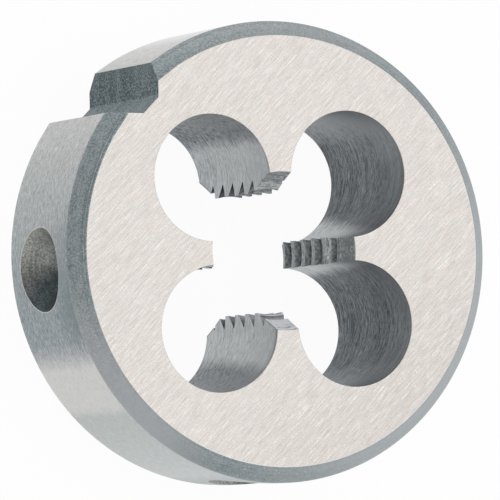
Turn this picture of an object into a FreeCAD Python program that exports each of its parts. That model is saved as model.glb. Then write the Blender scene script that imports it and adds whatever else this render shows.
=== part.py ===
"""Round solid threading die, 25 x 9 mm, cutting an M8 x 1.25 right-hand thread.

The die is one piece of hardened tool steel. It lies on its back face, with the
thread's axis on +Z and the origin at the middle of that face. Four lands, on
+X, +Y, -X and -Y, carry the teeth. Four chip holes open into the thread between
them. The rim has a V groove through its full thickness, and four conical seats
for the screws of a die stock.
"""
import FreeCAD, Part
import math
import os
from FreeCAD import Vector

# Driving dimensions, in millimetres and degrees

# Disc
die_diameter = 25.0
die_thickness = 9.0
edge_chamfer = 0.8

# Thread, a right-hand helix that climbs +Z counter-clockwise
thread_diameter = 8.0
thread_pitch = 1.25
thread_angle = 60.0
thread_root_flat = 0.06
# Height at which the groove between two teeth crosses the +X axis
thread_start_height = 0.17

# Lead at both faces, where the teeth are cut back by a cone
lead_threads = 1.75
lead_clearance = 0.3

# Chip holes
chip_hole_count = 4
chip_hole_diameter = 6.85
chip_hole_circle = 11.5
first_chip_hole_angle = 45.0

# Groove in the rim, outside the second chip hole
groove_position = 133.0
groove_angle = 90.0
groove_bottom_width = 1.2
groove_bottom_radius = 11.0

# Screw seats in the rim, in pairs on both sides of the groove
seat_offsets = (49.0, 134.5)
seat_angle = 90.0
seat_diameter = 5.0

# Derived sizes

die_radius = die_diameter / 2
thread_radius = thread_diameter / 2
flank_slope = math.tan(math.radians(thread_angle / 2))
sharp_thread_height = thread_pitch / (2 * flank_slope)
# The teeth end at the basic minor diameter, five eighths of the sharp height in
tooth_height = sharp_thread_height * 5 / 8
crest_radius = thread_radius - tooth_height
lead_length = lead_threads * thread_pitch
mouth_radius = thread_radius + lead_clearance
# What cuts runs this far past the face or wall that it cuts
overrun = 1.0

base_centre = Vector(0, 0, 0)
upwards = Vector(0, 0, 1)


def disc():
    """Return the blank, turned with a chamfer at both faces."""
    face_radius = die_radius - edge_chamfer
    half_profile = Part.makePolygon([
        base_centre,
        Vector(face_radius, 0, 0),
        Vector(die_radius, 0, edge_chamfer),
        Vector(die_radius, 0, die_thickness - edge_chamfer),
        Vector(face_radius, 0, die_thickness),
        Vector(0, 0, die_thickness),
        base_centre,
    ])
    blank = Part.Face(half_profile).revolve(base_centre, upwards, 360)
    # The turned faces' seam falls in the rim groove, so the rim stays one face
    blank.rotate(base_centre, upwards, groove_position)
    return blank


def thread_bore():
    """Return the bore at the teeth's crests, widened by the lead cone at each face."""
    growth = (mouth_radius - crest_radius) / lead_length
    outer_radius = mouth_radius + growth * overrun
    half_profile = Part.makePolygon([
        Vector(0, 0, -overrun),
        Vector(outer_radius, 0, -overrun),
        Vector(crest_radius, 0, lead_length),
        Vector(crest_radius, 0, die_thickness - lead_length),
        Vector(outer_radius, 0, die_thickness + overrun),
        Vector(0, 0, die_thickness + overrun),
        Vector(0, 0, -overrun),
    ])
    return Part.Face(half_profile).revolve(base_centre, upwards, 360)


def thread_grooves():
    """Return the V grooves that leave the teeth, one for each turn across each land."""
    # The V starts inside the bore, short of where neighbouring turns would meet
    inner_radius = crest_radius - 0.15 * thread_pitch
    inner_half_width = thread_root_flat / 2 + (thread_radius - inner_radius) * flank_slope
    section = Part.makePolygon([
        Vector(inner_radius, 0, -inner_half_width),
        Vector(thread_radius, 0, -thread_root_flat / 2),
        Vector(thread_radius, 0, thread_root_flat / 2),
        Vector(inner_radius, 0, inner_half_width),
        Vector(inner_radius, 0, -inner_half_width),
    ])
    # Each groove crosses one land and ends in the open chip holes beside it
    land_spacing = 360 / chip_hole_count
    arc = 0.8 * land_spacing
    rise = thread_pitch * arc / 360
    helix = Part.makeHelix(thread_pitch, rise, thread_radius)
    groove = Part.Wire(helix.Edges).makePipeShell([section], True, True)
    groove.rotate(base_centre, upwards, -arc / 2)
    groove.translate(Vector(0, 0, -rise / 2))
    grooves = []
    for land in range(chip_hole_count):
        angle = first_chip_hole_angle + (land + 0.5) * land_spacing
        land_height = (thread_start_height + thread_pitch * angle / 360) % thread_pitch
        turns = math.ceil(die_thickness / thread_pitch) + 2
        for turn in range(-1, turns):
            cut = groove.copy()
            cut.rotate(base_centre, upwards, angle)
            cut.translate(Vector(0, 0, land_height + turn * thread_pitch))
            grooves.append(cut)
    return grooves


def chip_holes():
    """Return the holes that part the lands and carry the chips away."""
    holes = []
    for index in range(chip_hole_count):
        hole = Part.makeCylinder(
            chip_hole_diameter / 2,
            die_thickness + 2 * overrun,
            Vector(chip_hole_circle / 2, 0, -overrun),
        )
        angle = first_chip_hole_angle + index * 360 / chip_hole_count
        hole.rotate(base_centre, upwards, angle)
        holes.append(hole)
    return holes


def rim_groove():
    """Return the flat-bottomed V along the rim, cut through both faces."""
    reach = die_radius + overrun
    bottom = groove_bottom_width / 2
    mouth = bottom + (reach - groove_bottom_radius) * math.tan(math.radians(groove_angle / 2))
    section = Part.makePolygon([
        Vector(groove_bottom_radius, -bottom, -overrun),
        Vector(reach, -mouth, -overrun),
        Vector(reach, mouth, -overrun),
        Vector(groove_bottom_radius, bottom, -overrun),
        Vector(groove_bottom_radius, -bottom, -overrun),
    ])
    groove = Part.Face(section).extrude(Vector(0, 0, die_thickness + 2 * overrun))
    groove.rotate(base_centre, upwards, groove_position)
    return groove


def screw_seats():
    """Return the conical seats, half way up the rim and mirrored about the groove."""
    slope = math.tan(math.radians(seat_angle / 2))
    depth = seat_diameter / 2 / slope
    seats = []
    for offset in seat_offsets:
        for side in (1, -1):
            seat = Part.makeCone(
                0,
                seat_diameter / 2 + overrun * slope,
                depth + overrun,
                Vector(die_radius - depth, 0, die_thickness / 2),
                Vector(1, 0, 0),
            )
            seat.rotate(base_centre, upwards, groove_position + side * offset)
            seats.append(seat)
    return seats


def threading_die():
    """Return the finished die as one solid."""
    die = disc().cut([rim_groove()] + screw_seats())
    die = die.cut(thread_bore())
    die = die.cut(chip_holes())
    die = die.cut(thread_grooves())
    solid = die.Solids[0]
    print("solids", len(die.Solids), "valid", solid.isValid(), "faces", len(solid.Faces))
    print("volume", round(solid.Volume, 2), "mm3")
    return solid


os.makedirs("parts", exist_ok=True)
threading_die().exportStep("parts/threading_die.step")
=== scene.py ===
# %% [markdown]
# # A round threading die
#
# A threading die cuts an outside screw thread. It is turned from one bar of tool steel,
# drilled, threaded, hardened, and then ground on its faces and its rim. What was ground is
# bright. What was not, such as the chamfers and the rim groove, keeps the dark, matte skin
# of the hardening furnace. This lesson builds the die's visible surface from formulas, one
# turned, drilled or cut surface at a time, and gives each one its own finish.

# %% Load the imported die
import math

import bpy
import numpy as np
from mathutils import Matrix, Vector


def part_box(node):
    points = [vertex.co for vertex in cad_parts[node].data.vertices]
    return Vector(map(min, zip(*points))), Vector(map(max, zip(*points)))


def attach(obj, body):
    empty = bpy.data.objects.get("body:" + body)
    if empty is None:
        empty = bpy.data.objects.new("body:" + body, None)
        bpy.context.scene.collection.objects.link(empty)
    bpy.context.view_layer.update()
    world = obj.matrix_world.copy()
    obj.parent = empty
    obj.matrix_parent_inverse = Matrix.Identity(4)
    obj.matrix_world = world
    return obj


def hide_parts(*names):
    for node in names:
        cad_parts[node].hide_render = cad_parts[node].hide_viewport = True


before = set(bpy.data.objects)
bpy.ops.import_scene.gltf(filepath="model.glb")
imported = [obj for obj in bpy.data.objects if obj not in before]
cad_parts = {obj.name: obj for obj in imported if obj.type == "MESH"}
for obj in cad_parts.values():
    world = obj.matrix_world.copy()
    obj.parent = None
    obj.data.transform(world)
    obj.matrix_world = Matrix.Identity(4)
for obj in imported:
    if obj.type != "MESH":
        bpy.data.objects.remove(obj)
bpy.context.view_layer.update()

print("nodes in the frame:", sorted(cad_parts))

# %% [markdown]
# ## Sizes
#
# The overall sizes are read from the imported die, so they can't drift apart from it. The
# smaller ones are the maker's own numbers for an M8 x 1.25 die, in millimetres.

# %% Sizes in millimetres
mm = 0.001
low_corner, high_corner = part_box("threading_die")
die_radius = round((high_corner.x - low_corner.x) / 2 / mm, 2)
thickness = round(high_corner.z / mm, 2)
chamfer = 0.8
face_radius = die_radius - chamfer
hole_radius = 3.425
hole_distance = 5.75
thread_radius = 4.0
crest_radius = 3.3234
pitch = 1.25
root_half_width = 0.03
thread_start = 0.17
flank_slope = math.tan(math.radians(30))
lead_length = 2.1875
mouth_radius = 4.3
print("die", 2 * die_radius, "x", thickness, "mm, thread M", 2 * thread_radius, "x", pitch)

# %% Sizes of the rim groove and the screw seats
groove_position = 133.0
groove_angle = math.radians(groove_position)
groove_floor = 11.0
groove_half_floor = 0.6
seat_offsets = (49.0, -49.0, 134.5, -134.5)
seat_angles = [math.radians(groove_position + offset) for offset in seat_offsets]
seat_radius = 2.5
edge_break = 0.04
print("screw seats at", [round(math.degrees(a) % 360, 1) for a in seat_angles], "degrees")

# %% [markdown]
# ## The columns of the net
#
# The real die is cut out of a disc, and Blender's booleans could cut it too. They leave long
# thin triangles along the teeth, though, and no map for the tool marks to follow. So the
# whole skin is one net of rows and columns, as on a globe. A column starts at the bore,
# crosses a face, goes down the outside and comes back under the other face. One quarter of
# the die has these columns: half of a chip hole's wall, the last stretch of that wall up to
# the land, the land with its teeth, and then the same in mirror image. The last stretch of
# the wall is kept apart because its length changes as the teeth rise and fall.

# %% Columns of one quarter
wall_columns, stretch_columns, land_columns = 24, 4, 14
fixed_wall = math.radians(125)

wall_share = np.linspace(0, 1, wall_columns + 1)[:-1]
stretch_share = np.linspace(0, 1, stretch_columns + 1)[:-1]
land_share = np.linspace(-1, 1, land_columns + 1)

zeros, ones = np.zeros_like, np.ones_like
column_wall = np.concatenate([
    wall_share, ones(stretch_share), ones(land_share), ones(stretch_share), wall_share[::-1]])
column_stretch = np.concatenate([
    zeros(wall_share), stretch_share, ones(land_share), stretch_share[::-1], zeros(wall_share)])
column_land = np.concatenate([
    -ones(wall_share), -ones(stretch_share), land_share, ones(stretch_share), ones(wall_share)])
column_on_land = np.abs(column_land) < 1
quarter_columns = len(column_wall) - 1
total_columns = 4 * quarter_columns
print("columns per quarter", quarter_columns, "and in all", total_columns)

# %% [markdown]
# ## Where a chip hole meets the bore
#
# A land is the toothed steel between two chip holes, and its corners are the cutting edges.
# They could be picked by hand, but both curves are circles, so the law of cosines gives the
# corner between them exactly. Seen from the die's axis the corner of a land lies at a small
# angle, and seen from the middle of the chip hole it lies far round, past 130 degrees. Both
# change with the radius of the bore at that height.

# %% Corner of a land
def land_half_angle(radius, hole):
    """Angle from a land's middle to its edge, where a circle of this radius meets the hole."""
    cosine = (hole_distance**2 + radius**2 - hole**2) / (2 * hole_distance * radius)
    return math.radians(45) - np.arccos(cosine)


def wall_end_angle(radius, hole):
    """The same corner seen from the hole's middle, counted from the hole's outermost point."""
    cosine = (radius**2 - hole_distance**2 - hole**2) / (2 * hole_distance * hole)
    return np.arccos(cosine)


land_width = 2 * math.degrees(land_half_angle(crest_radius, hole_radius))
print("a land is", round(land_width, 1), "degrees wide at the tips of its teeth")

# %% Inner outline of one quarter
def inner_outline(land_radius, offset=0.0):
    """X and Y of each column: chip hole circle, then the land's arc, then the next hole.

    An offset moves the whole outline into the steel, which is how an edge is broken.
    """
    hole = hole_radius + offset
    beta = fixed_wall * column_wall
    beta = beta + (wall_end_angle(land_radius, hole) - fixed_wall) * column_stretch
    across = hole_distance * math.sqrt(0.5)
    wall_x = across + hole * np.cos(math.pi / 4 - beta)
    wall_y = np.sign(column_land) * (across + hole * np.sin(math.pi / 4 - beta))
    theta = column_land * land_half_angle(land_radius, hole)
    x = np.where(column_on_land, land_radius * np.cos(theta), wall_x)
    y = np.where(column_on_land, land_radius * np.sin(theta), wall_y)
    return x, y


def turned(x, y, quarter):
    """The same points, turned by so many quarters of a turn about the axis."""
    angle = quarter * math.pi / 2
    return x * math.cos(angle) - y * math.sin(angle), x * math.sin(angle) + y * math.cos(angle)


def whole_ring(x, y):
    """One quarter's outline, repeated four times to close the ring."""
    parts = [turned(x, y, quarter) for quarter in range(4)]
    ring_x = np.concatenate([px[:-1] for px, _ in parts] + [parts[3][0][-1:]])
    ring_y = np.concatenate([py[:-1] for _, py in parts] + [parts[3][1][-1:]])
    return ring_x, ring_y


print("a whole ring has", len(whole_ring(*inner_outline(crest_radius))[0]), "points")

# %% [markdown]
# ## The teeth
#
# A tap cuts the teeth, and a cone at each face cuts them back, so that the die starts
# gently. A Screw modifier could sweep their profile up a helix, but it knows nothing of the
# cones and the chip holes. A formula does: the open space has a radius that depends only on
# the angle and the height. It is the larger of two: the bore with its lead cones, and the V
# groove of the thread, which climbs by one pitch in each turn. Rows of the net follow the
# groove's root, its flanks and the crests between, so every edge of a tooth is a line of
# the net. Where a lead cone cuts a tooth back, the groove is narrower, and the rows move in
# with it.

# %% Radius of the bore and of the thread
lead_slope = (mouth_radius - crest_radius) / lead_length


def bore_radius(z):
    """Crest radius, plus the lead cone's slope times the depth into the cone."""
    into_cone = np.maximum(0, np.maximum(z - (thickness - lead_length), lead_length - z))
    return crest_radius + lead_slope * into_cone


def open_radius(angle, z):
    """The larger of the bore and the V groove that climbs with the angle."""
    climb = z - thread_start - pitch * angle / (2 * math.pi)
    from_groove = np.abs((climb + pitch / 2) % pitch - pitch / 2)
    groove = thread_radius - np.maximum(from_groove - root_half_width, 0) / flank_slope
    return np.maximum(bore_radius(z), groove)


bore_widths = [round(2 * float(bore_radius(z)), 2) for z in (thickness / 2, thickness)]
print("the bore is", bore_widths[0], "mm wide inside and", bore_widths[1], "mm at a face")

# %% Half widths of the groove
full_half_width = root_half_width + (thread_radius - crest_radius) * flank_slope


def half_widths(centre):
    """How far the groove reaches above and below its centre, where its flanks meet the bore.

    On the cones a flank and the bore are both straight lines, so their crossing is a quotient.
    """
    steep = 1 / flank_slope
    depth = thread_radius + root_half_width * steep - crest_radius
    front = depth - lead_slope * (centre - (thickness - lead_length))
    back = depth - lead_slope * (lead_length - centre)
    above = np.minimum(front / (steep + lead_slope), back / (steep - lead_slope))
    below = np.minimum(front / (steep - lead_slope), back / (steep + lead_slope))
    limits = root_half_width, full_half_width
    return np.clip(above, *limits), np.clip(below, *limits)


print("crest flat", round(pitch - 2 * full_half_width, 3), "mm wide")

# %% Rows of the thread
spare_turns = 3
groove_numbers = np.arange(-spare_turns, math.ceil(thickness / pitch) + spare_turns)[:, None]


def thread_rows(angle):
    """Heights of all rows at these angles: root, flank and crest of each turn in order."""
    centre = thread_start + pitch * (groove_numbers + angle / (2 * math.pi))
    above, _ = half_widths(centre)
    _, below_next = half_widths(centre + pitch)
    start, end = centre + above, centre + pitch - below_next
    root = centre + root_half_width
    next_root = centre + pitch - root_half_width
    rows = [root, (root + start) / 2, start, (2 * start + end) / 3, (start + 2 * end) / 3]
    rows += [end, (end + next_root) / 2, next_root]
    return np.stack(rows, axis=1).reshape(-1, angle.shape[-1])


print("rows", thread_rows(np.zeros((1, 1))).shape[0])

# %% Rows across one land
row_low, row_high = edge_break, thickness - edge_break
middle_radius = (thread_radius + crest_radius) / 2


def land_net(quarter):
    """Heights of a land's rows, and the radius there once they are cut off at both faces."""
    half_angle = land_half_angle(middle_radius, hole_radius)
    angle = quarter * math.pi / 2 + land_share[None, :] * half_angle
    heights = thread_rows(angle)
    return heights, open_radius(angle, np.clip(heights, row_low, row_high))


print("a land's net has", land_net(0)[0].shape, "rows and columns")

# %% [markdown]
# ## Collecting the skin
#
# Each surface of the die is a grid of points. They could be objects of their own that are
# joined at the end, but plain arrays are quicker to sew together. They all go into one list,
# with the finish of each face and the lay of each point. The lay is a flat map in
# millimetres, along the tool marks and across them, so that a finish can follow a turned or
# drilled surface round.

# %% Collect the grids
finishes = ["ground_face", "furnace_skin", "groove_skin", "ground_rim", "hole_wall",
            "cut_thread", "screw_seat"]
skin = {"points": [], "lay": [], "faces": [], "finish": []}


def add_grid(points, lay, finish):
    """Adds a grid of points, rows by columns. A finish of -1 leaves that face out."""
    rows, columns = points.shape[:2]
    start = sum(len(block) for block in skin["points"])
    corner = start + np.arange(rows - 1)[:, None] * columns + np.arange(columns - 1)
    quads = np.stack([corner, corner + 1, corner + columns + 1, corner + columns], axis=-1)
    finish = np.broadcast_to(finish, corner.shape)
    keep = finish >= 0
    skin["points"].append(points.reshape(-1, 3))
    skin["lay"].append(np.broadcast_to(lay, (rows, columns, 2)).reshape(-1, 2))
    skin["faces"].append(quads[keep])
    skin["finish"].append(finish[keep])


def finish_number(name):
    """The material slot of a finish."""
    return finishes.index(name)


print("finishes to come:", ", ".join(finishes))

# %% [markdown]
# ## Chip holes and lands
#
# A chip hole lets the chips out and gives the teeth their edges. A boolean cylinder would
# cut it, but would lose the thread's rows. In the net the rows follow the thread across a
# land, and along a chip hole's wall they only have to lead from one land's row to the next
# land's, a quarter of a pitch higher. Rows past a face are cut off at the face, where they
# fall together and are merged later.

# %% Bore and chip holes
lay_step = 40


def bore_quarter(quarter):
    """Points and lay of one quarter of the inside, from chip hole to chip hole.

    The lay starts a step further in each quarter, so that no two have the same marks.
    """
    heights, radius = land_net(quarter)
    before, after = land_net(quarter - 1)[0][:, -1], land_net(quarter + 1)[0][:, 0]
    left, right = heights[:, :1], heights[:, -1:]
    far_left, far_right = (left + before[:, None]) / 2, (right + after[:, None]) / 2
    wall = wall_columns + stretch_columns
    z = np.concatenate([
        far_left + (left - far_left) * column_wall[:wall],
        heights,
        far_right + (right - far_right) * column_wall[-wall:]], axis=1)
    z = np.clip(z, row_low, row_high)
    radius = np.concatenate([
        np.repeat(radius[:, :1], wall, 1), radius, np.repeat(radius[:, -1:], wall, 1)], axis=1)
    x, y = turned(*inner_outline(radius), quarter)
    step = np.hypot(np.diff(x, axis=1), np.diff(y, axis=1)).mean(axis=0)
    along = np.concatenate([[0], np.cumsum(step)]) + lay_step * quarter
    lay = np.stack([np.broadcast_to(along, z.shape), z], axis=-1)
    return np.stack([x, y, z], axis=-1), lay


on_land_face = column_on_land[:-1] | column_on_land[1:]
bore_finish = np.where(on_land_face, finish_number("cut_thread"), finish_number("hole_wall"))
for quarter in range(4):
    add_grid(*bore_quarter(quarter), bore_finish)
print("inside surfaces have", sum(len(faces) for faces in skin["faces"]), "faces")

# %% [markdown]
# ## The outside, seen along the axis
#
# The rim is a circle, and the groove that a holder's screw bears on is a flat floor with two
# walls at 45 degrees. A Bevel modifier could break its edges, but it stumbles where the
# groove runs out through a chamfer. A formula doesn't: along any ray from the axis the
# steel ends at the nearer of the two. A plain minimum would leave razor edges, so the two
# are blended over a few hundredths of a millimetre.

# %% Blended minimum and the groove's outline
groove_sector = math.radians(30)


def blended_minimum(first, second, width):
    """The smaller of two values, rounded where they differ by less than the width."""
    overlap = np.maximum(width - np.abs(first - second), 0) / width
    return np.minimum(first, second) - overlap**2 * width / 4


def outside_radius(angle, turned_radius, offset):
    """Distance from the axis to the steel's edge. The offset moves the groove inwards."""
    delta = (angle - groove_angle + math.pi) % (2 * math.pi) - math.pi
    near = np.abs(delta) < groove_sector
    delta = np.where(near, delta, 0)
    floor = (groove_floor - offset) / np.cos(delta)
    wall_start = groove_floor - groove_half_floor - offset * math.sqrt(2)
    wall = wall_start / (np.cos(delta) - np.sin(np.abs(delta)))
    groove = -blended_minimum(-floor, -wall, edge_break)
    return np.where(near, blended_minimum(turned_radius, groove, edge_break), turned_radius)


steel_in_groove = float(outside_radius(groove_angle, die_radius, 0))
print("in the groove the steel reaches", round(steel_in_groove, 2), "mm from the axis")

# %% [markdown]
# The columns reach the rim at chosen angles. The tight rows of a land spread over a few
# degrees only, so that no line on the face crosses a chip hole. Fifteen columns are drawn
# to the groove's edges and corners, and two to the sides of each screw seat.

# %% Where each column meets the rim
wall_spread, land_spread = math.radians(4), math.radians(3)
quarter_angle = np.sign(column_land) * (
    math.pi / 4 - (math.pi / 4 - wall_spread) * column_wall
    - (wall_spread - land_spread) * column_stretch)
quarter_angle = np.where(column_on_land, column_land * land_spread, quarter_angle)
rim_angle = np.concatenate(
    [quarter_angle[:-1] + k * math.pi / 2 for k in range(4)] + [[2 * math.pi - math.pi / 4]])

window_half_angle = math.radians(13)
windows = []
for seat_angle in seat_angles:
    seat_angle = (seat_angle + math.pi / 4) % (2 * math.pi) - math.pi / 4
    sides = [int(np.abs(rim_angle - seat_angle - side * window_half_angle).argmin())
             for side in (-1, 1)]
    rim_angle[sides] = seat_angle - window_half_angle, seat_angle + window_half_angle
    windows.append((seat_angle, *sides))
print("screw seat windows between columns", [w[1:] for w in windows])

# %% Columns of the groove
groove_column = int(np.abs(rim_angle - groove_angle).argmin())
groove_reach = 7
edge_blend = math.radians(0.22)


def wall_meets(radius):
    """Angle from the groove's middle at which its wall reaches this radius."""
    return math.acos((groove_floor - groove_half_floor) / (math.sqrt(2) * radius)) - math.pi / 4


def column_angles(turned_radius):
    """All columns' angles on a row of this radius, with the groove's columns on its edges."""
    edge, corner = wall_meets(turned_radius), math.atan(groove_half_floor / groove_floor)
    half = [corner - edge_blend, corner, corner + edge_blend, (corner + edge) / 2,
            edge - edge_blend, edge, edge + edge_blend]
    angles = rim_angle.copy()
    near = slice(groove_column - groove_reach, groove_column + groove_reach + 1)
    angles[near] = groove_angle + np.array([-a for a in half[::-1]] + [0] + half)
    return angles


order_kept = bool((np.diff(column_angles(die_radius)) > 0).all())
print("columns stay in order:", order_kept)

# %% [markdown]
# ## The turned outside
#
# The outside is a profile turned about the axis, as on a lathe: the face's edge, a chamfer,
# the straight rim and the other chamfer. Blender's Spin would turn it in even steps, but the
# columns have to keep to the groove and the screw seats, so the rows are worked out here.
# Each corner is cut a little and rounded, as an edge that was stoned by hand.

# %% Profile of the outside
edge_steps = 4


def rounded_corner(before, corner, after, size):
    """A few points of a curve that leaves the corner out: a parabola between its sides."""
    before, corner, after = (np.array(p, float) for p in (before, corner, after))
    start = corner + (before - corner) * size / np.linalg.norm(before - corner)
    end = corner + (after - corner) * size / np.linalg.norm(after - corner)
    t = np.linspace(0, 1, edge_steps)[:, None]
    return (1 - t)**2 * start + 2 * t * (1 - t) * corner + t**2 * end


face_edge = (face_radius, thickness)
rim_edge = (die_radius, thickness - chamfer)
lower_rim_edge = (die_radius, chamfer)
window_margin = 1.25
window_top, window_bottom = thickness - window_margin, window_margin
window_rows = 14

front_turn = np.concatenate([
    rounded_corner((0, thickness), face_edge, rim_edge, edge_break),
    [[face_radius + edge_break, row_high]],
    rounded_corner(face_edge, rim_edge, lower_rim_edge, edge_break)])
rim_rows = np.stack([
    np.full(window_rows + 1, die_radius),
    np.linspace(window_top, window_bottom, window_rows + 1)], axis=1)
back_turn = front_turn[::-1] * [1, -1] + [0, thickness]
profile = np.concatenate([front_turn, rim_rows, back_turn])
print("profile of the outside has", len(profile), "points")

# %% Skin of the outside
def groove_offset(z):
    """How far the groove's edge is broken at this height, a quarter circle at each face."""
    past = np.maximum(0, np.abs(z - thickness / 2) - (thickness / 2 - edge_break)) / edge_break
    return edge_break * (1 - np.sqrt(np.maximum(0, 1 - past**2)))


def outside_row(turned_radius, z):
    """One row of the outside, with its angles."""
    angle = column_angles(turned_radius)
    radius = outside_radius(angle, turned_radius, groove_offset(z))
    points = [radius * np.cos(angle), radius * np.sin(angle), np.full(angle.shape, z)]
    return np.stack(points, axis=-1), angle


outside = [outside_row(radius, z) for radius, z in profile]
outside_points = np.stack([points for points, _ in outside])
outside_angle = np.stack([angle for _, angle in outside])
travel = np.concatenate([[0], np.cumsum(np.hypot(*np.diff(profile, axis=0).T))])
outside_lay = np.stack([
    die_radius * outside_angle, np.broadcast_to(travel[:, None], outside_angle.shape)], axis=-1)
print("the outside has", outside_points.shape[:2], "rows and columns")

# %% Finish of the outside
row_of_rim = len(front_turn) - 1
is_rim = (np.arange(len(profile) - 1) >= row_of_rim) & (
    np.arange(len(profile) - 1) < row_of_rim + window_rows + 2)
outside_finish = np.where(is_rim[:, None], finish_number("ground_rim"),
                          finish_number("furnace_skin"))
outside_finish = np.repeat(outside_finish, total_columns, axis=1)
in_groove = slice(groove_column - groove_reach + 1, groove_column + groove_reach - 1)
outside_finish[:, in_groove] = finish_number("groove_skin")
window_row = len(front_turn)
for _, left, right in windows:
    outside_finish[window_row:window_row + window_rows, left:right] = -1
add_grid(outside_points, outside_lay, outside_finish)
print("faces left out for the screw seats", int((outside_finish < 0).sum()))

# %% [markdown]
# ## The screw seats
#
# A screw seat is a cone drilled into the round rim, for a holder's screw. A boolean could
# cut it, but its edge is a curve on a curved wall, and would come out jagged. So a window
# was left open in the rim. Rings of points run from the window's four sides to the circle
# where the cone starts, and on to its tip. The height of the steel is again a blended
# minimum, of the rim and the cone.

# %% Circle where cone and rim meet
def seat_edge(psi):
    """Distance from the seat's middle to its edge, the positive root of a quadratic.

    A cone of 90 degrees has its depth equal to its radius, and the rim falls away sideways.
    """
    tip = die_radius - seat_radius
    a = 1 + np.cos(psi)**2
    return (-tip + np.sqrt(tip**2 + a * (die_radius**2 - tip**2))) / a


def seat_height(sideways, upwards):
    """Distance from the axis plane to the steel: the rim's circle or the cone, if nearer."""
    rim = np.sqrt(die_radius**2 - sideways**2)
    cone = die_radius - seat_radius + np.hypot(sideways, upwards)
    return blended_minimum(rim, cone, edge_break)


seat_widths = [round(2 * float(seat_edge(psi)), 2) for psi in (0, math.pi / 2)]
print("a screw seat is", seat_widths[0], "mm wide across the rim and", seat_widths[1], "mm along Z")

# %% Skin of one screw seat
ring_scales = np.array([1.02, 1.01, 1.0, 0.99, 0.98, 0.8, 0.6, 0.4, 0.2, 0.08, 0.0])
rings_on_rim = 4


def window_outline(left, right):
    """The window's four sides as one closed loop of columns and rows."""
    angle = column_angles(die_radius)[left:right + 1]
    rows = rim_rows[::-1, 1]
    sides = [
        (angle[:-1], np.full(right - left, rows[0])),
        (np.full(window_rows, angle[-1]), rows[:-1]),
        (angle[:0:-1], np.full(right - left, rows[-1])),
        (np.full(window_rows + 1, angle[0]), rows[::-1])]
    return (np.concatenate(part) for part in zip(*sides))


def seat_skin(seat_angle, left, right):
    """Points and lay of a window, ring by ring from its sides to the tip of the cone."""
    angle, z = window_outline(left, right)
    side, up = die_radius * np.sin(angle - seat_angle), z - thickness / 2
    psi = np.arctan2(up, side)
    edge = seat_edge(psi)
    circle_side = ring_scales[:, None] * edge * np.cos(psi)
    circle_up = ring_scales[:, None] * edge * np.sin(psi)
    sideways = np.concatenate([side[None], (side[None] + circle_side[:1]) / 2, circle_side])
    upwards = np.concatenate([up[None], (up[None] + circle_up[:1]) / 2, circle_up])
    out = seat_height(sideways, upwards)
    x = out * math.cos(seat_angle) - sideways * math.sin(seat_angle)
    y = out * math.sin(seat_angle) + sideways * math.cos(seat_angle)
    around = np.unwrap(psi) * seat_radius
    lay = np.stack([np.broadcast_to(around, sideways.shape),
                    np.hypot(sideways, upwards) * math.sqrt(2)], axis=-1)
    rim_lay = np.stack([die_radius * (seat_angle + np.arcsin(sideways / die_radius)),
                        travel[window_row] + window_top - (upwards + thickness / 2)], axis=-1)
    lay[:3] = rim_lay[:3]
    return np.stack([x, y, upwards + thickness / 2], axis=-1), lay


for seat_angle, left, right in windows:
    points, lay = seat_skin(seat_angle, left, right)
    ring_finish = np.full((len(points) - 1, 1), finish_number("screw_seat"))
    ring_finish[:rings_on_rim] = finish_number("ground_rim")
    add_grid(points, lay, ring_finish)
print("outside surfaces bring it to", sum(len(faces) for faces in skin["faces"]), "faces")

# %% [markdown]
# ## The two faces
#
# A face is ground flat after hardening. One flat polygon with a hole in it could stand for
# it, but its edges would be razor sharp. So the face starts below its own plane, at the
# bore and the chip holes, with a broken edge: a quarter circle that rises while the outline
# moves into the steel. From there it is flat, out to the first row of the outside.

# %% Skin of a face
flat_shares = (0.01, 0.35, 0.7, 0.99, 1.0)


def face_skin(front):
    """Points of one face, from the edge of the bore and the chip holes to the chamfer."""
    mouth = bore_radius(row_high)
    rows = []
    for angle in np.linspace(0, math.pi / 2, edge_steps):
        offset = edge_break * (1 - math.cos(angle))
        x, y = whole_ring(*inner_outline(mouth + offset, offset))
        z = np.full(x.shape, row_high + edge_break * math.sin(angle))
        rows.append(np.stack([x, y, z], axis=-1))
    near, far = rows[-1], outside_points[0]
    rows += [near + (far - near) * share for share in flat_shares]
    points = np.stack(rows)
    if not front:
        points[..., 2] = thickness - points[..., 2]
    return points


for front in (True, False):
    points = face_skin(front)
    finish = np.full((len(points) - 1, 1), finish_number("ground_face"))
    add_grid(points, points[..., :2], finish)
print("with both faces", sum(len(faces) for faces in skin["faces"]), "faces")

# %% [markdown]
# ## One closed piece
#
# The real die is one solid, so its skin is closed all round. A Remesh modifier could close
# it, but would blur the teeth. The grids share their border points, so merging points that
# coincide sews them together. The rows that were cut off at a face fall together here. Then
# the normals are turned outwards, and edges that are sharper than an edge break's steps
# stay crisp.

# %% Build the mesh
import bmesh

merge_distance = 0.0005 * mm
sharp_angle = math.radians(40)

points = np.concatenate(skin["points"]) * mm
faces = np.concatenate(skin["faces"])
mesh = bpy.data.meshes.new("die_skin")
mesh.from_pydata(points, [], faces.tolist())
lay_map = mesh.uv_layers.new(name="lay")
lay_map.data.foreach_set("uv", np.concatenate(skin["lay"])[faces.ravel()].ravel())
mesh.polygons.foreach_set("material_index", np.concatenate(skin["finish"]))

work = bmesh.new()
work.from_mesh(mesh)
bmesh.ops.remove_doubles(work, verts=work.verts, dist=merge_distance)
bmesh.ops.recalc_face_normals(work, faces=work.faces)
open_edges = sum(1 for edge in work.edges if len(edge.link_faces) != 2)
volume = work.calc_volume() / mm**3
work.to_mesh(mesh)
work.free()
mesh.polygons.foreach_set("use_smooth", np.ones(len(mesh.polygons), bool))
mesh.set_sharp_from_angle(angle=sharp_angle)
print("faces", len(mesh.polygons), "open edges", open_edges, "volume", round(volume, 1), "mm3")

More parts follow.
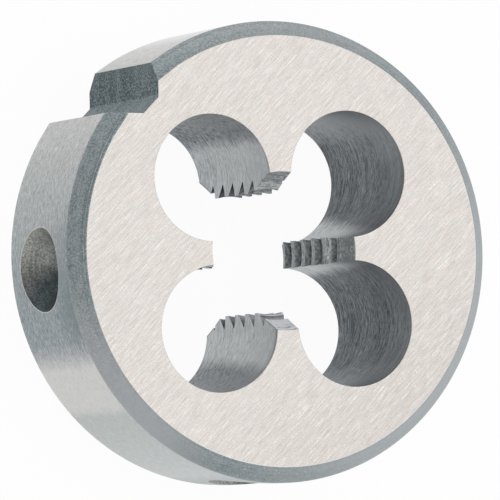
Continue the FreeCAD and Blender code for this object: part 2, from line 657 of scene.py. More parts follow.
# %% Put the piece on the die's body
die = bpy.data.objects.new("die_skin", mesh)
bpy.context.scene.collection.objects.link(die)
even_shading = die.modifiers.new("even_shading", "WEIGHTED_NORMAL")
even_shading.keep_sharp = True
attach(die, "root")
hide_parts("threading_die")
print("piece", die.name, "at", tuple(die.location), "stands for the packed die")

# %% [markdown]
# ## Camera
#
# The die lies on its back face and the camera looks down on it from the -X side, 26 degrees
# off its axis. It could be placed by eye. But a circle seen at an angle is an ellipse whose
# proportions give the angle, so the direction was worked out from the rim and the holes.
# The long lens keeps the far edges of the holes nearly as large as the near ones. Top of
# the picture is +Y.

# %% Camera
frame_pixels = 500
sensor_width = 36.0
lens_pixels = 5743
aim = Vector((0.11, 0.275, 4.5)) * mm
towards_camera = Vector((-0.43312, -0.03495, 0.90066)).normalized()
camera_distance = 313.7 * mm
picture_up = Vector((0.02910, 0.99818, 0.05273))

camera_data = bpy.data.cameras.new("camera")
camera_data.sensor_width = sensor_width
camera_data.lens = lens_pixels * sensor_width / frame_pixels
camera_data.clip_start, camera_data.clip_end = 0.01, 10
camera = bpy.data.objects.new("camera", camera_data)
right_hand = picture_up.cross(towards_camera).normalized()
turn = Matrix((right_hand, towards_camera.cross(right_hand), towards_camera)).transposed()
camera.matrix_world = Matrix.Translation(aim + towards_camera * camera_distance) @ turn.to_4x4()
bpy.context.scene.collection.objects.link(camera)
bpy.context.scene.camera = camera
bpy.context.scene.view_settings.view_transform = "Standard"
print("lens", round(camera_data.lens, 1), "mm")

# %% [markdown]
# ## Floor, world and lamps
#
# The floor is white paper and the world is a white studio. A white world alone would show the
# die floating, so there is a floor. For camera rays it is mostly its own light, so that it
# shows white, and the rest of it takes the die's shadow. Reflections in the steel see the
# same white studio, or bare metal would turn black. On one side the studio is dimmer, which
# is what darkens the walls of the chip holes.

# %% Node helpers
def new_material(name):
    """A material with an empty node tree, and its output node."""
    material = bpy.data.materials.new(name)
    material.use_nodes = True
    material.node_tree.nodes.clear()
    return material.node_tree, material.node_tree.nodes.new("ShaderNodeOutputMaterial")


def add_node(tree, kind, inputs=None, **settings):
    """Adds a node. A linked input is given as an output socket, any other as a value."""
    node = tree.nodes.new("ShaderNode" + kind)
    for name, value in settings.items():
        setattr(node, name, value)
    for name, value in (inputs or {}).items():
        if isinstance(value, bpy.types.NodeSocket):
            tree.links.new(value, node.inputs[name])
        else:
            node.inputs[name].default_value = value
    return node


def math_node(tree, operation, *values):
    """One sum, product, maximum or the like of numbers."""
    return add_node(tree, "Math", dict(enumerate(values)), operation=operation).outputs[0]


def vector_node(tree, operation, *values, result="Vector"):
    """The same for vectors. The result is called Value where it is a number."""
    node = add_node(tree, "VectorMath", dict(enumerate(values)), operation=operation)
    return node.outputs[result]


def span(tree, value, low, high, to_low, to_high):
    """Stretches a value from one range to another, and stops at both ends."""
    return add_node(tree, "MapRange", {
        "Value": value, "From Min": low, "From Max": high,
        "To Min": to_low, "To Max": to_high}).outputs[0]


def seen_or_mirrored(tree):
    """One for camera, glossy and transmission rays, and zero for the rest."""
    path = add_node(tree, "LightPath").outputs
    first = math_node(tree, "MAXIMUM", path["Is Camera Ray"], path["Is Glossy Ray"])
    return math_node(tree, "MAXIMUM", first, path["Is Transmission Ray"])


# %% World
darkest_direction = (-0.86, 0.22, 0.46)
dark_patch_edge = 0.45
soft_level, dark_level = 0.9, 0.5

world = bpy.data.worlds.new("studio")
bpy.context.scene.world = world
world.use_nodes = True
studio = world.node_tree
studio.nodes.clear()
looking = add_node(studio, "TexCoord").outputs["Generated"]
facing = vector_node(studio, "DOT_PRODUCT", looking, darkest_direction, result="Value")
mirrored = span(studio, facing, dark_patch_edge, 1.0, 1.0, dark_level)
camera_ray = add_node(studio, "LightPath").outputs["Is Camera Ray"]
backdrop = math_node(studio, "MAXIMUM", mirrored, camera_ray)
level = add_node(studio, "Mix", {
    "Factor": seen_or_mirrored(studio), "A": soft_level, "B": backdrop}).outputs[0]
light = add_node(studio, "Background", {"Color": (1, 1, 1, 1), "Strength": level})
add_node(studio, "OutputWorld", {"Surface": light.outputs[0]})
print("the studio lights with", soft_level, "and its dark patch mirrors as", dark_level)

# %% Floor
floor_half = 600 * mm
own_share = 0.95

floor_mesh = bpy.data.meshes.new("floor")
floor_corners = [(x * floor_half, y * floor_half, 0) for x, y in ((-1, -1), (1, -1), (1, 1), (-1, 1))]
floor_mesh.from_pydata(floor_corners, [], [(0, 1, 2, 3)])
floor = bpy.data.objects.new("floor", floor_mesh)
bpy.context.scene.collection.objects.link(floor)

paper_tree, paper_output = new_material("white_paper")
paper = add_node(paper_tree, "BsdfDiffuse", {"Color": (0.9, 0.9, 0.9, 1)})
glow = add_node(paper_tree, "Emission", {"Color": (1, 1, 1, 1), "Strength": 1.0})
own_light = span(paper_tree, seen_or_mirrored(paper_tree), 0, 1, 0, own_share)
mixed = add_node(paper_tree, "MixShader", {
    "Fac": own_light, 1: paper.outputs[0], 2: glow.outputs[0]})
paper_tree.links.new(mixed.outputs[0], paper_output.inputs["Surface"])
floor_mesh.materials.append(bpy.data.materials["white_paper"])
print("the camera sees", own_share, "of the floor's own light, the rest takes the shadow")

# %% Lamps
def add_lamp(name, place, size, power):
    """A square area lamp at a place in millimetres, pointing at the die."""
    lamp_data = bpy.data.lights.new(name, "AREA")
    lamp_data.shape = "SQUARE"
    lamp_data.size = size * mm
    lamp_data.energy = power
    lamp = bpy.data.objects.new(name, lamp_data)
    lamp.location = Vector(place) * mm
    lamp.rotation_euler = (aim - lamp.location).to_track_quat("-Z", "Y").to_euler()
    bpy.context.scene.collection.objects.link(lamp)


add_lamp("key", (110, 360, 300), 420, 0.15)
add_lamp("fill", (-220, -200, 130), 280, 0.05)

# %% [markdown]
# ## Finishes
#
# Steel is one metal, but each surface of a die is finished in its own way. A picture could be
# wrapped round each of them, but it would blur close up and show its seams. Noise does
# neither. The helpers below measure in millimetres on the object, so a grinding line is as
# wide here as on the real tool. Grain is a noise that is stretched along the tool's path, and
# the lay map from the net carries it round holes and rim.

# %% Places on the die
def object_mm(tree):
    """Object coordinates in millimetres."""
    place = add_node(tree, "TexCoord").outputs["Object"]
    return add_node(tree, "VectorMath", {0: place, "Scale": 1 / mm}, operation="SCALE").outputs[0]


def lay_mm(tree):
    """The lay map: millimetres along the tool marks and across them."""
    return add_node(tree, "UVMap", uv_map="lay").outputs[0]


def parts_of(tree, vector):
    """The three numbers of a vector."""
    return add_node(tree, "SeparateXYZ", {"Vector": vector}).outputs


def axis_distance(tree, place):
    """Distance from the thread's axis in millimetres."""
    flat = vector_node(tree, "MULTIPLY", place, (1, 1, 0))
    return vector_node(tree, "LENGTH", flat, result="Value")


def face_depth(tree, place):
    """Depth in millimetres below the nearer of the two faces."""
    from_middle = math_node(tree, "SUBTRACT", parts_of(tree, place)["Z"], thickness / 2)
    return math_node(tree, "SUBTRACT", thickness / 2, math_node(tree, "ABSOLUTE", from_middle))


def on_side(tree, place, side, low, high, most=1.0):
    """Grows from 0 to this much between two shares of the radius towards a side."""
    towards = vector_node(tree, "DOT_PRODUCT", place, side, result="Value")
    return span(tree, towards, low * die_radius, high * die_radius, 0, most)


# %% Sums of tones
def weigh(tree, *parts):
    """Adds values up, each by its own share."""
    total = None
    for value, share in parts:
        scaled = add_node(tree, "Math", {0: value, 1: share, 2: 0.0}, operation="MULTIPLY_ADD")
        if total is not None:
            tree.links.new(total, scaled.inputs[2])
        total = scaled.outputs[0]
    return total


def add_up(tree, *values):
    """Adds values up as they are."""
    return weigh(tree, *((value, 1.0) for value in values))


def multiply(tree, first, second):
    """The product of two values, often a tone and the place where it shows."""
    return math_node(tree, "MULTIPLY", first, second)


def calm(tree, tone, share):
    """Draws a tone towards the middle by this share."""
    return add_node(tree, "Mix", {"Factor": share, "A": tone, "B": 0.5}).outputs[0]


def band(tree, value, low, high, fade, most=1.0):
    """This much between two limits and nothing outside, with a fade inside both limits."""
    return multiply(tree, span(tree, value, low, low + fade, 0, most),
                    span(tree, value, high - fade, high, 1, 0))


# %% Grain
lathe_reach, flat_depth = 30, 5


def grain(tree, vector, size, angle=0.0, seed=0.0):
    """Noise from 0 to 1 whose spots have this size in millimetres along X, Y and Z."""
    fitted = add_node(tree, "Mapping", {
        "Vector": vector, "Location": (seed, seed, 0), "Rotation": (0, 0, angle),
        "Scale": size}, vector_type="TEXTURE").outputs[0]
    return add_node(tree, "TexNoise", {"Vector": fitted, "Scale": 1.0, "Detail": 3.0}).outputs[0]


def round_grain(tree, place, size, seed=0.0):
    """Grain whose spots are as wide as they are long."""
    return grain(tree, place, (size, size, size), seed=seed)


def flat_grain(tree, vector, length, width, angle=0.0, seed=0.0):
    """Grain of this length and width on a flat face or on the lay map."""
    return grain(tree, vector, (length, width, flat_depth), angle, seed)


def lathe_grain(tree, place, width, seed=0.0):
    """Lines round the axis. The noise hardly changes along X and Y, so Z alone parts them."""
    return grain(tree, place, (lathe_reach, lathe_reach, width), seed=seed)


def stronger(tree, noise, reach):
    """Noise gathers round a half. What lies this near to a half is stretched to 0 to 1."""
    return span(tree, noise, 0.5 - reach, 0.5 + reach, 0, 1)


def tool_marks(tree, vector, length, width, angle=0.0):
    """Marks along X from 0 to 1: fine ones of this size, broader ones, and specks."""
    fine = grain(tree, vector, (length, width, width), angle)
    broad = grain(tree, vector, (4 * length, 3.5 * width, 3.5 * width), angle, seed=3)
    speck = round_grain(tree, vector, 1.3 * width, seed=7)
    return stronger(tree, weigh(tree, (fine, 0.6), (broad, 0.15), (speck, 0.25)), 0.09)


# %% Colour, steel and the slots of the die
def colour_between(tree, value, dark, light):
    """A colour between a dark and a light one."""
    mixer = add_node(tree, "Mix", data_type="RGBA")
    tree.links.new(value, mixer.inputs["Factor"])
    ends = [socket for socket in mixer.inputs if socket.type == "RGBA"]
    for socket, colour in zip(ends, (dark, light)):
        if isinstance(colour, bpy.types.NodeSocket):
            tree.links.new(colour, socket)
        else:
            socket.default_value = (*colour, 1)
    return next(socket for socket in mixer.outputs if socket.type == "RGBA")


def steel(tree, output, colour, roughness, height, depth):
    """Bare steel of this colour, with a relief as deep as given in micrometres."""
    relief = add_node(tree, "Bump", {"Height": height, "Distance": depth * 0.001 * mm})
    metal = add_node(tree, "BsdfPrincipled", {
        "Base Color": colour, "Metallic": 1.0, "Roughness": roughness,
        "Normal": relief.outputs[0]})
    tree.links.new(metal.outputs[0], output.inputs["Surface"])


def add_finish(name, make):
    """Makes the next finish in the list and puts it in its slot on the die."""
    tree, output = new_material(name)
    make(tree, output)
    mesh.materials.append(bpy.data.materials[name])
    in_order = finishes[len(mesh.materials) - 1] == name
    print(name, "has", len(tree.nodes), "nodes and is in its own slot:", in_order)


# %% [markdown]
# ## Ground faces
#
# A surface grinder draws fine straight lines over the whole face, here at 42 degrees. Most
# are a few hundredths of a millimetre wide and about a millimetre long, and some are deeper
# and catch the light. An anisotropic shader would give the sheen but no lines, and a tiled
# picture would repeat. Noise that is stretched one way gives lines that never repeat. A
# second noise breaks up the brightest ones, and a thin pale burr stands on one side of the
# face's edge.
# One side of the face is a little darker, which is painted shade.

# %% Ground face
grinding_angle = math.radians(42.4)
# Length and width in millimetres
face_line, face_scratch, face_bead = (0.8, 0.04), (1.3, 0.03), (0.12, 0.3)
face_speck, face_tint = (0.07, 0.07), (0.5, 0.16)
face_shade_side, burr_side = (0.6, -0.8, 0), (0.5, -0.87, 0)
burr_width = 0.07


def grinding_tone(tree, place):
    """Fine lines, specks and broken bright scratches, and painted shade that makes one side a little
    darker.
    """
    marks = calm(tree, tool_marks(tree, place, *face_line, grinding_angle), 0.25)
    speck = stronger(tree, flat_grain(tree, place, *face_speck, seed=29), 0.14)
    scratch = flat_grain(tree, place, *face_scratch, grinding_angle, seed=17)
    beads = flat_grain(tree, place, *face_bead, grinding_angle, seed=23)
    bright = multiply(tree, span(tree, scratch, 0.57, 0.65, 0, 1),
                      span(tree, beads, 0.4, 0.56, 0.2, 1))
    # Painted shade: the face is a little darker towards one side.
    painted_face_shade = on_side(tree, place, face_shade_side, 0.3, 0.9, -0.11)
    return weigh(tree, (marks, 0.55), (speck, 0.25), (bright, 0.85), (painted_face_shade, 1.0))


def make_ground_face(tree, output):
    """A warm and a cooler grey beside each other, and the burr on top."""
    place = object_mm(tree)
    tone = grinding_tone(tree, place)
    warm = colour_between(tree, tone, (0.605, 0.55, 0.517), (0.985, 0.925, 0.885))
    cool = colour_between(tree, tone, (0.59, 0.565, 0.534), (0.965, 0.935, 0.90))
    tint = stronger(tree, flat_grain(tree, place, *face_tint, grinding_angle, seed=41), 0.1)
    burr = band(tree, axis_distance(tree, place), face_radius - burr_width, face_radius, 0.02)
    burr = multiply(tree, burr, on_side(tree, place, burr_side, 0.1, 0.5, 0.7))
    colour = colour_between(tree, tint, warm, cool)
    colour = colour_between(tree, burr, colour, (0.90, 0.93, 0.935))
    steel(tree, output, colour, span(tree, tone, 0, 1, 0.46, 0.36), tone, 0.4)


add_finish("ground_face", make_ground_face)

# %% [markdown]
# ## Skin of the furnace
#
# Chamfers and the rim groove were cut before hardening and never ground. They are matte and
# blue-grey, with specks of a tenth of a millimetre. An even colour would look like paint, so
# the tone adds up specks, soft clouds and the lathe's fine lines, a noise that changes only
# with the height. Towards one side the skin is thinner and towards another it is smoother.
# These two sides and the top are also lighter, which is painted light, and the bottom is
# darker, which is painted shade. On one more side, a narrow ridge beside the face is drawn as
# a painted highlight between two dark lines of painted shade. The groove is darker, except on
# its floor.

# %% Chamfer skin
# Directions of the skin's sides. The lit sides carry painted light, and the shaded bottom carries
# painted shade.
thin_lit_side, smooth_lit_side, left_up_side = (0.82, -0.57, 0), (-0.79, -0.62, 0), (-0.93, 0.37, 0)
shaded_bottom_side, lit_top_side = (-0.17, -0.985, 0), (0.1, 0.995, 0)
skin_speck, skin_cloud, skin_dot, lathe_line = 0.085, 0.5, 0.1, 0.1
# Places of the painted shade lines and of the painted highlight between them
shade_line_place = face_radius + 0.02, face_radius + 0.19
highlight_line_place = face_radius + 0.07, face_radius + 0.14


def painted_edge_lines(tree, place, cloud):
    """A ridge drawn as a painted highlight between two dark lines of painted shade, beside the face,
    on one side of the die.
    """
    from_axis = axis_distance(tree, place)
    painted_shade_lines = band(tree, from_axis, *shade_line_place, 0.03, -0.3)
    painted_highlight_line = band(tree, from_axis, *highlight_line_place, 0.025, 0.55)
    painted_lines = multiply(tree, add_up(tree, painted_shade_lines, painted_highlight_line),
                     on_side(tree, place, left_up_side, 0.8, 0.93))
    return multiply(tree, painted_lines, span(tree, cloud, 0.4, 0.55, 0.35, 1))


def make_furnace_skin(tree, output):
    """Specks, clouds and lathe lines, calmer where the skin is smooth or thin, with painted light on
    three sides, painted shade at the bottom, and the painted edge lines.
    """
    place = object_mm(tree)
    speck = round_grain(tree, place, skin_speck)
    cloud = round_grain(tree, place, skin_cloud, seed=5)
    lathe_lines = lathe_grain(tree, place, lathe_line, seed=2)
    spots = weigh(tree, (speck, 0.6), (cloud, 0.17), (lathe_lines, 0.23))
    smooth_and_lit = on_side(tree, place, smooth_lit_side, 0.83, 0.96)
    thinner_and_lit = on_side(tree, place, thin_lit_side, 0.25, 1.0, 0.42)
    painted_bottom_shade = on_side(tree, place, shaded_bottom_side, 0.86, 0.96, -0.12)
    painted_top_light = on_side(tree, place, lit_top_side, 0.75, 0.95, 0.12)
    grainy = on_side(tree, place, left_up_side, 0.35, 0.8)
    calmer = weigh(tree, (1.0, 0.38), (smooth_and_lit, 0.5), (thinner_and_lit, 0.9), (grainy, -0.38))
    spots = calm(tree, stronger(tree, spots, 0.11), calmer)
    dots = span(tree, round_grain(tree, place, skin_dot, seed=33), 0.63, 0.7, 0, 0.7)
    dots = multiply(tree, dots, span(tree, calmer, 0.4, 0.7, 1, 0))
    painted_lines = painted_edge_lines(tree, place, cloud)
    # The painted light on three sides, the painted shade at the bottom and the painted edge lines are
    # added to the tone.
    tone = weigh(tree, (spots, 0.72), (smooth_and_lit, 0.17))
    tone = add_up(tree, tone, dots, thinner_and_lit, painted_lines, painted_bottom_shade, painted_top_light)
    blue = colour_between(tree, tone, (0.188, 0.229, 0.241), (0.495, 0.537, 0.551))
    plain = colour_between(tree, tone, (0.22, 0.235, 0.245), (0.50, 0.515, 0.525))
    less_blue = weigh(tree, (smooth_and_lit, 1.0), (thinner_and_lit, 1.5), (painted_top_light, 4.0))
    colour = colour_between(tree, less_blue, blue, plain)
    steel(tree, output, colour, span(tree, tone, 0, 1, 0.6, 0.48), tone, 1.2)


add_finish("furnace_skin", make_furnace_skin)

# %% Groove skin
groove_speck, groove_stripe = 0.09, 1.1
floor_border = groove_floor + 0.03, groove_floor + 0.12


def make_groove_skin(tree, output):
    """Specks, single dots and broad stripes across the wall, and a lighter floor."""
    place = object_mm(tree)
    speck = round_grain(tree, place, groove_speck, seed=11)
    stripe = lathe_grain(tree, place, groove_stripe, seed=2)
    dots = span(tree, round_grain(tree, place, skin_dot, seed=35), 0.62, 0.7, 0, 0.5)
    spots = span(tree, weigh(tree, (speck, 0.72), (stripe, 0.28)), 0.41, 0.6, 0, 1)
    lighter_floor = span(tree, axis_distance(tree, place), *floor_border, 0.3, 0)
    tone = weigh(tree, (spots, 0.76), (dots, 1.0), (lighter_floor, 1.0))
    colour = colour_between(tree, tone, (0.045, 0.07, 0.075), (0.265, 0.32, 0.33))
    steel(tree, output, colour, span(tree, tone, 0, 1, 0.62, 0.5), tone, 1.5)


add_finish("groove_skin", make_groove_skin)

# %% [markdown]
# ## Ground rim
#
# The rim was ground while the die turned, so its lines run round the axis. Beside two screw
# seats the wheel took less off, and the blue-grey skin still shows. Vertex colours could mark
# these places, but their borders would be as coarse as the mesh. Azimuth times radius is the
# lay map's first value, so a few limits say where each zone starts and ends, and noise makes
# the borders ragged.
# A brighter strip of the rim, and a glare and a shine on its far side, are painted highlights.

# %% Zones of the rim
# Azimuths in degrees. The bright, glare and shine zones are painted highlights.
painted_bright_zone, bluish_zone, painted_glare_zone, painted_shine_zone = (203.5, 223), (220.5, 258), (84, 124), (88, 114)
skin_start, skin_end, second_skin, chamfer_skin = (143, 192), (204, 211), (254, 286), (170, 205)


def rim_place(azimuth):
    """The lay map's value at an azimuth in degrees."""
    return die_radius * math.radians(azimuth)


def rim_zone(tree, along, limits, fade, most=1.0):
    """A band between two azimuths in degrees, that fades over this many millimetres."""
    return band(tree, along, rim_place(limits[0]), rim_place(limits[1]), fade, most)


def rim_slope(tree, along, limits, start, end):
    """A value that goes from one number to another between two azimuths in degrees."""
    return span(tree, along, rim_place(limits[0]), rim_place(limits[1]), start, end)


print("the first zone of skin starts", round(rim_place(skin_start[0]), 1), "mm round the rim")

# %% Ground rim
rim_line, rim_border = (0.36, 0.095), (1.5, 0.5)
below_chamfer = (5.5, 7.6)


def bare_rim(tree, along, tone):
    """Silver steel, bluer in one strip, with painted highlights: a brighter strip, and a glare and a
    shine on the far side.
    """
    # Painted highlights: a brighter strip, a glare and a shine.
    bright = rim_zone(tree, along, painted_bright_zone, die_radius * 0.07, 0.42)
    bluish = rim_zone(tree, along, bluish_zone, die_radius * 0.03)
    painted_glare = rim_zone(tree, along, painted_glare_zone, die_radius * 0.2, 0.3)
    painted_shine = rim_zone(tree, along, painted_shine_zone, die_radius * 0.15, 0.5)
    rim_marks_and_painted_light = add_up(tree, tone, bright, painted_glare)
    silver = colour_between(tree, rim_marks_and_painted_light, (0.368, 0.378, 0.37), (0.582, 0.583, 0.567))
    blued = colour_between(tree, rim_marks_and_painted_light, (0.316, 0.343, 0.341), (0.513, 0.548, 0.542))
    silver = colour_between(tree, bluish, silver, blued)
    return colour_between(tree, painted_shine, silver, (0.90, 0.90, 0.91))


def make_ground_rim(tree, output):
    """Lines round the axis on bare steel, and the skin that the wheel left in two zones."""
    place, lay = object_mm(tree), lay_mm(tree)
    height, along = parts_of(tree, place)["Z"], parts_of(tree, lay)["X"]
    ragged = weigh(tree, (along, 1.0), (flat_grain(tree, lay, *rim_border, seed=21), 1.2))
    smoother = on_side(tree, place, burr_side, -0.12, 0.0, 0.5)
    tone = calm(tree, tool_marks(tree, lay, *rim_line), smoother)
    near_chamfer = multiply(tree, rim_zone(tree, ragged, chamfer_skin, 1.2),
                            span(tree, height, *below_chamfer, 0, -0.6))
    skin_tone = add_up(tree, tone, near_chamfer)
    skin = colour_between(tree, skin_tone, (0.152, 0.192, 0.204), (0.34, 0.37, 0.385))
    first = multiply(tree, rim_slope(tree, ragged, skin_start, 0, 1),
                     rim_slope(tree, ragged, skin_end, 1, 0))
    second = rim_zone(tree, ragged, second_skin, die_radius * 0.14)
    colour = colour_between(tree, add_up(tree, first, second), bare_rim(tree, along, tone), skin)
    steel(tree, output, colour, span(tree, tone, 0, 1, 0.34, 0.26), tone, 0.5)


add_finish("ground_rim", make_ground_rim)

# %% [markdown]
# ## Chip holes
#
# A chip hole is drilled, which leaves slightly slanted marks round its wall, and hardened
# dark. Then a small wheel grinds the wall bright beside each land, to sharpen the teeth. The
# border could be painted on an unwrapped picture. A formula needs none: the wheel reached to
# one distance from a slanted line, further on one side, and noise along the drill's marks
# makes the border ragged. Light and shade in the holes are partly painted: the wall is
# lighter near the front, outwards and in two holes, and darker deep inside and in two holes.
# A thin dark line of painted shade runs where the wall meets a face or a cone.

# %% Drill marks on the wall
drill_slant = math.radians(15)
# Length and width in millimetres
drill_mark, drill_arc, drill_line = (0.42, 0.085), (6, 0.27), (2.2, 0.13)
wall_cloud = 0.7
# Heights above the back face, and the strips in which one hole's look turns into the next
front_third, middle_heights = (5.5, 8.5), (1.5, 6.5)
left_to_right, bottom_to_top = (-1, 1), (-0.5, 0.5)


def drill_tone(tree, place, lay):
    """Slanted marks, long arcs, soft clouds and single dark lines, weaker near the front."""
    x, _, height = parts_of(tree, place)
    marks = tool_marks(tree, lay, *drill_mark, drill_slant)
    marks = calm(tree, marks, span(tree, height, *front_third, 0, 0.4))
    arcs = stronger(tree, flat_grain(tree, lay, *drill_arc, drill_slant / 3, seed=16), 0.12)
    arcs = calm(tree, arcs, span(tree, x, *left_to_right, 0.75, 0.1))
    cloud = stronger(tree, round_grain(tree, place, wall_cloud, seed=4), 0.12)
    line = flat_grain(tree, lay, *drill_line, drill_slant, seed=9)
    line = multiply(tree, span(tree, line, 0.34, 0.46, -1, 0),
                    span(tree, height, *middle_heights, 0.45, 0.1))
    return weigh(tree, (marks, 0.65), (arcs, 0.27), (cloud, 0.08), (line, 1.0))


# %% Hardened wall and ground wall
diagonal = 0.707
hole_at = {(x, y): (x * diagonal, y * diagonal, 0) for x in (1, -1) for y in (1, -1)}
left_side, upper_side = (-1, 0, 0), (0.5, 0.866, 0)
patch_size = (0.3, 0.12)
# Heights and distances where the painted light near the front and outwards, and the painted shade
# deep inside, change
front_end, back_end, most_heights = (6, 8.7), (1, 4), (1, 8.5)
outer_wall = (6.0, 7.3)
print("directions of the chip holes:", list(hole_at.values()))


def hardened_wall(tree, place, lay, tone):
    """Dark steel, lighter in patches, with painted light near the front, outwards and in two holes,
    and painted shade deep inside and in one hole.
    """
    x, y, height = parts_of(tree, place)
    patches = flat_grain(tree, lay, *patch_size, seed=14)
    patches = multiply(tree, span(tree, patches, 0.4, 0.6, -0.15, 0.7),
                       on_side(tree, place, left_side, -0.1, 0.1))
    painted_light_near_face = multiply(tree, span(tree, height, *front_end, 0, 1),
                         span(tree, x, *left_to_right, 0.1, 0.27))
    from_middle = math_node(tree, "ABSOLUTE", y)
    painted_light_outwards = multiply(tree, span(tree, from_middle, *outer_wall, 0, 0.5), span(tree, x, 0, 1, 0, 1))
    painted_shade_deep = multiply(tree, span(tree, height, *back_end, -0.15, 0),
                    span(tree, y, *bottom_to_top, 0, 1))
    # Painted light and shade by height, outwards and by hole are added to the marks and patches.
    wall_marks_and_painted_light = add_up(tree, tone, patches, painted_light_near_face, painted_light_outwards, painted_shade_deep,
                     on_side(tree, place, hole_at[1, -1], 0.3, 0.5, -0.14),
                     on_side(tree, place, hole_at[-1, -1], 0.1, 0.3, 0.14),
                     on_side(tree, place, upper_side, 0.62, 0.72, 0.13))
    return colour_between(tree, wall_marks_and_painted_light, (0.045, 0.056, 0.064), (0.29, 0.31, 0.325))


def ground_wall(tree, place, tone):
    """Brighter steel beside a land, and in one hole a little darker deep inside, which is painted
    shade.
    """
    height = parts_of(tree, place)["Z"]
    painted_shade_in_hole = multiply(tree, span(tree, height, *most_heights, -0.24, 0.08),
                      on_side(tree, place, hole_at[-1, 1], 0.1, 0.3))
    ground_marks_and_painted_shade = weigh(tree, (tone, 1.15), (painted_shade_in_hole, 1.0), (1.0, 0.1))
    return colour_between(tree, ground_marks_and_painted_shade, (0.245, 0.27, 0.28), (0.53, 0.555, 0.565))


# %% Where the wheel reached
ground_reach, border_width = 6.3, 0.7
finger_size = (1.1, 0.16)
all_heights, front_heights = (1, 9), (4, 8)
wheel_slant = (0.1, 0.028, 0)
wheel_start = (0, 0.25, 0)


def wheel_share(tree, place, lay):
    """One where the distance from the wheel's slanted line is below its reach, else zero.

    Noise along the drill's marks moves the border, and so do a few slow changes by hole.
    """
    x, y, height = parts_of(tree, place)
    slant = add_node(tree, "VectorMath", {0: wheel_slant, "Scale": height}, operation="SCALE")
    moved = vector_node(tree, "ADD", place, slant.outputs[0])
    from_wheel = axis_distance(tree, vector_node(tree, "SUBTRACT", moved, wheel_start))
    finger = flat_grain(tree, lay, *finger_size, drill_slant, seed=31)
    upper, lower = span(tree, y, *bottom_to_top, 0, 1), span(tree, y, *bottom_to_top, 1, 0)
    further = multiply(tree, upper, span(tree, height, *all_heights, -0.6, -0.05))
    uneven = add_up(tree, span(tree, y, *bottom_to_top, 0.05, -0.33), further)
    uneven = multiply(tree, span(tree, x, 0, 2, 0, 1), uneven)
    near_front = multiply(tree, multiply(tree, span(tree, x, -2, 0, 1, 0), lower),
                          span(tree, height, *front_heights, 0, -0.4))
    ragged = weigh(tree, (from_wheel, 1.0), (finger, 1.2), (uneven, 1.0), (near_front, 1.0))
    return span(tree, ragged, ground_reach, ground_reach + border_width, 1, 0)


# %% Chip hole wall
# Depths in millimetres of the painted dark lines behind the face and behind the lead cone, and where
# the cone ends
face_edge_depth, cone_edge_depth, cone_end = (0.04, 0.10), (0.03, 0.10), (1.2, 1.7)


def crest_depth(tree, place):
    """Depth in millimetres behind the teeth's crests, which widen in the lead cones."""
    crests = span(tree, face_depth(tree, place), 0, lead_length, mouth_radius, crest_radius)
    return weigh(tree, (axis_distance(tree, place), 1.0), (crests, -1.0))


def make_hole_wall(tree, output):
    """Hardened and ground wall, with a dark line of painted shade along the face and along the lead
    cone.
    """
    place, lay = object_mm(tree), lay_mm(tree)
    tone = drill_tone(tree, place, lay)
    ground = wheel_share(tree, place, lay)
    colour = colour_between(tree, ground, hardened_wall(tree, place, lay, tone),
                            ground_wall(tree, place, tone))
    into_face = face_depth(tree, place)
    painted_face_edge_shade = span(tree, into_face, *face_edge_depth, 0.55, 1)
    colour = colour_between(tree, painted_face_edge_shade, (0, 0, 0), colour)
    painted_cone_edge_shade = multiply(tree, span(tree, crest_depth(tree, place), *cone_edge_depth, 0.5, 0),
                         span(tree, into_face, *cone_end, 1, 0))
    colour = colour_between(tree, painted_cone_edge_shade, colour, (0.03, 0.035, 0.04))
    steel(tree, output, colour, span(tree, ground, 0, 1, 0.5, 0.4), tone, 1.0)


add_finish("hole_wall", make_hole_wall)

# %% [markdown]
# ## Thread and screw seats
#
# The teeth were cut by a tap. Their crests and the lead cones are bright, and the roots are
# darker, which is painted shade. It could be painted tooth by tooth, but a formula knows the
# depth below the crests at every point, and the tone follows it. One land is lighter, a
# painted reflection, and another land is darker near the faces, painted shade. The screw
# seats were drilled and are brown-grey, darker on one side and near the tip, which is
# painted shade, with faint rings of the drill round their tips.

# %% Cut thread
lit_land_side, shaded_land_side = (0, -1, 0), (1, 0, 0)
tooth_mark, tooth_streak = (0.2, 0.08), (1.2, 0.15)
lead_end = lead_length * 0.92, lead_length
# Depths in millimetres behind the crests: polished, where painted shade begins on one land, and where
# painted shade darkens the roots
polished_depth, land_shade_start, root_shade_depth = (0.01, 0.05), (0.03, 0.08), (0.0, 0.4)
cone_depths = (0.6, 1.7)


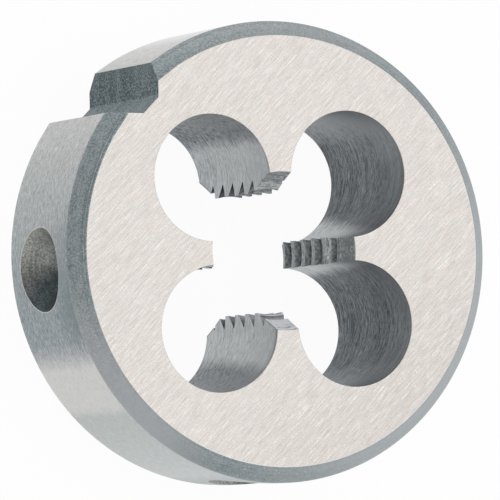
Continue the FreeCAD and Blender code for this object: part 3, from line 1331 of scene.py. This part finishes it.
def make_cut_thread(tree, output):
    """Roots darkened by painted shade, lighter flanks and polished lead cones, with painted shade on
    one land and a painted reflection on another.
    """
    place, lay = object_mm(tree), lay_mm(tree)
    marks = tool_marks(tree, lay, *tooth_mark)
    streak = span(tree, flat_grain(tree, lay, *tooth_streak, seed=6), 0.36, 0.52, -0.6, 0)
    painted_land_reflection = on_side(tree, place, lit_land_side, 0.1, 0.3, 0.6)
    # A painted reflection lightens one land's teeth and cone.
    tone = add_up(tree, marks, painted_land_reflection)
    into_face, depth = face_depth(tree, place), crest_depth(tree, place)
    in_lead = span(tree, into_face, *lead_end, 1, 0)
    root = colour_between(tree, tone, (0.045, 0.05, 0.055), (0.12, 0.13, 0.135))
    flank = colour_between(tree, tone, (0.175, 0.19, 0.198), (0.36, 0.38, 0.388))
    painted_land_shade = multiply(tree, in_lead, on_side(tree, place, shaded_land_side, 0.15, 0.25))
    # Painted shade: darker deeper below the crests, and in one land's lead.
    painted_root_shade = add_up(tree, span(tree, depth, *root_shade_depth, 0, 1),
                  multiply(tree, painted_land_shade, span(tree, depth, *land_shade_start, 0, 0.25)))
    on_cone = multiply(tree, in_lead, span(tree, depth, *polished_depth, 1, 0))
    # The cone's tone: marks and streaks, the painted reflection and the painted shade of two lands,
    # and lighter further from the face.
    cone_marks_and_painted_light = weigh(tree, (marks, 0.6), (streak, 1.0), (painted_land_reflection, 1.4), (painted_land_shade, -0.14),
                     (span(tree, into_face, *cone_depths, -0.08, 0.45), 1.0))
    cone = colour_between(tree, cone_marks_and_painted_light, (0.36, 0.385, 0.395), (0.93, 0.955, 0.96))
    colour = colour_between(tree, on_cone, colour_between(tree, painted_root_shade, flank, root), cone)
    roughness = weigh(tree, (1.0, 0.5), (tone, -0.12), (on_cone, 0.4))
    steel(tree, output, colour, roughness, tone, 1.0)


add_finish("cut_thread", make_cut_thread)

# %% Screw seat
seat_ring, seat_speck, seat_cloud = (6, 0.15), (0.12, 0.12), (0.8, 0.8)
shaded_tip = (1.4, 3.1)


def make_screw_seat(tree, output):
    """Rings, specks and clouds, brown on one side of the cone, and black on the other and near the
    tip, which is painted shade.
    """
    lay = lay_mm(tree)
    ring = flat_grain(tree, lay, *seat_ring)
    speck = flat_grain(tree, lay, *seat_speck, seed=8)
    cloud = flat_grain(tree, lay, *seat_cloud, seed=12)
    tone = stronger(tree, weigh(tree, (ring, 0.15), (speck, 0.6), (cloud, 0.25)), 0.11)
    # A lit brown copy and a shaded black copy of the seat's steel. The black is painted shade.
    seat_lit_brown = colour_between(tree, tone, (0.15, 0.157, 0.149), (0.40, 0.405, 0.38))
    seat_shaded_black = colour_between(tree, tone, (0.02, 0.03, 0.035), (0.10, 0.12, 0.125))
    around, from_tip, _ = parts_of(tree, lay)
    sideways = math_node(tree, "COSINE", multiply(tree, around, 1 / seat_radius))
    # Painted shade: black on one side and near the tip.
    painted_seat_shade = add_up(tree, span(tree, sideways, -0.15, 0.75, 0, 1),
                       span(tree, from_tip, *shaded_tip, 0.45, 0))
    colour = colour_between(tree, painted_seat_shade, seat_lit_brown, seat_shaded_black)
    steel(tree, output, colour, span(tree, tone, 0, 1, 0.5, 0.4), tone, 1.0)


add_finish("screw_seat", make_screw_seat)
